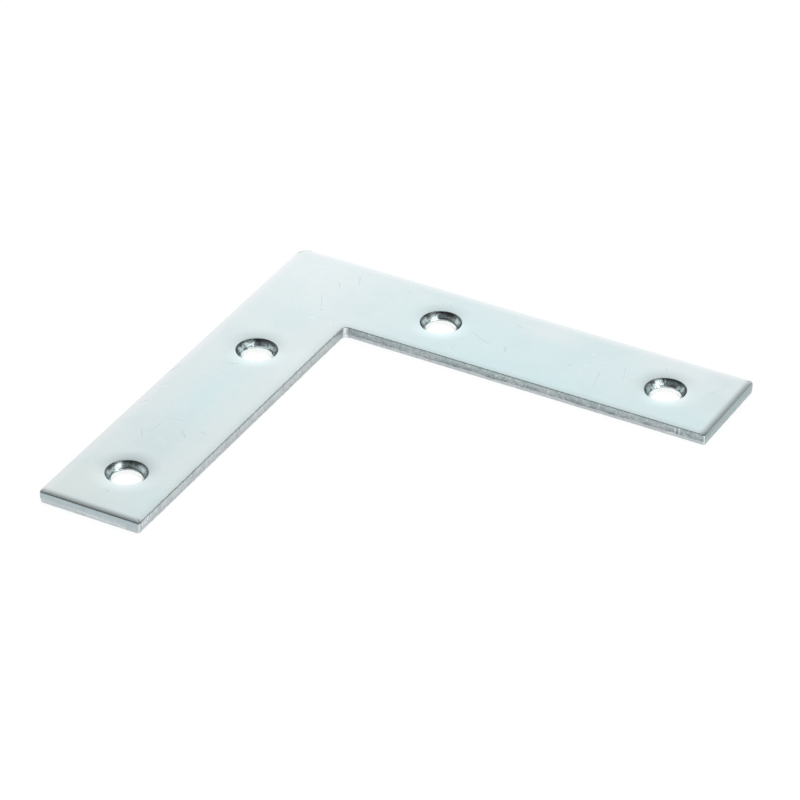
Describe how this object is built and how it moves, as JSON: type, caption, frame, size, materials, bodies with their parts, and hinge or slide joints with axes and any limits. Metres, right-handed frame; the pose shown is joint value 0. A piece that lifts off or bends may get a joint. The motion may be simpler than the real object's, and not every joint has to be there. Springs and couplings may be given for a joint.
{
  "type": "flat corner brace",
  "caption": "Flat L-shaped corner brace stamped from zinc-plated steel, with countersunk screw holes along both arms, for holding the corner of a frame square.",
  "frame": {"origin": "on the back face, where the row of holes in one arm crosses the row in the other", "axes": "+X along one arm, +Y along the other arm, +Z out of the countersunk face"},
  "size_m": [0.1016, 0.1016, 0.0025],
  "materials": {
    "zinc_plated_steel": "bright zinc plating with a pale blue tint, fine scuffs on the face and dull bands on the cut edges"
  },
  "bodies": {
    "root": {"corner_brace": "zinc_plated_steel"}
  },
  "joints": []
}
